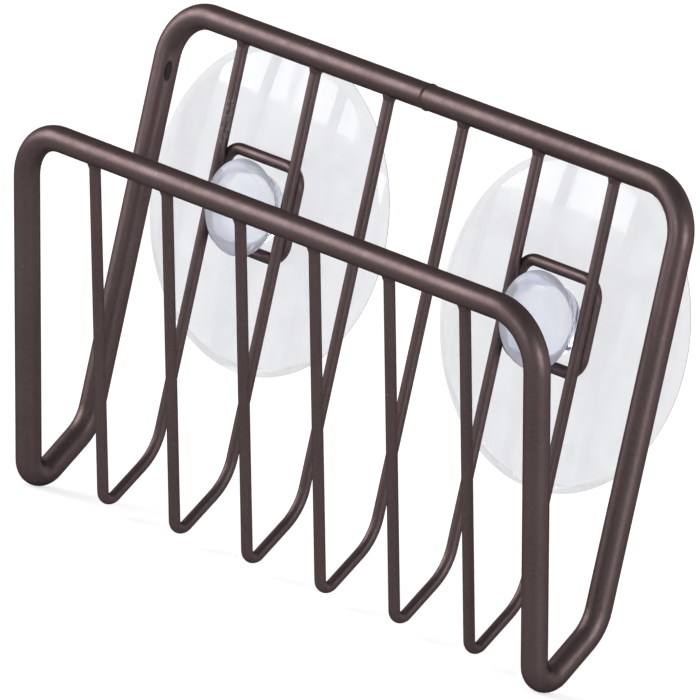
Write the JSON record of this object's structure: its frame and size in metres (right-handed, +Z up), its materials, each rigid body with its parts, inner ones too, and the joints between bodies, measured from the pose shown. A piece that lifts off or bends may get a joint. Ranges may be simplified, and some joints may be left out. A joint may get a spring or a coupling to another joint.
{
  "type": "sponge holder",
  "caption": "Wire sponge holder with a tapered open pocket of bent ribs in a heavy wire frame, hung on a wall by clear suction cups that turn in wire rings.",
  "frame": {"origin": "on the wall, half way between the axes of the two suction cups", "axes": "+X to the right along the rails, +Y into the wall that the cups stick to, +Z up"},
  "size_m": [0.1436, 0.0411, 0.0973],
  "materials": {
    "bronze_wire": "satin dark bronze coat",
    "clear_pvc": "clear, glossy, soft"
  },
  "bodies": {
    "basket": {"frame_wire": "bronze_wire", "rib_1": "bronze_wire", "rib_2": "bronze_wire", "rib_3": "bronze_wire", "rib_4": "bronze_wire", "rib_5": "bronze_wire", "rib_6": "bronze_wire", "cup_ring_left": "bronze_wire", "cup_ring_right": "bronze_wire"},
    "left_cup": {"suction_cup_left": "clear_pvc"},
    "right_cup": {"suction_cup_right": "clear_pvc"}
  },
  "joints": [
    {"name": "left_cup_turn", "type": "hinge", "parent": "basket", "child": "left_cup", "pos_m": [-0.04, 0, 0], "axis": [0, 1, 0], "continuous": true},
    {"name": "right_cup_turn", "type": "hinge", "parent": "basket", "child": "right_cup", "pos_m": [0.04, 0, 0], "axis": [0, 1, 0], "continuous": true}
  ]
}
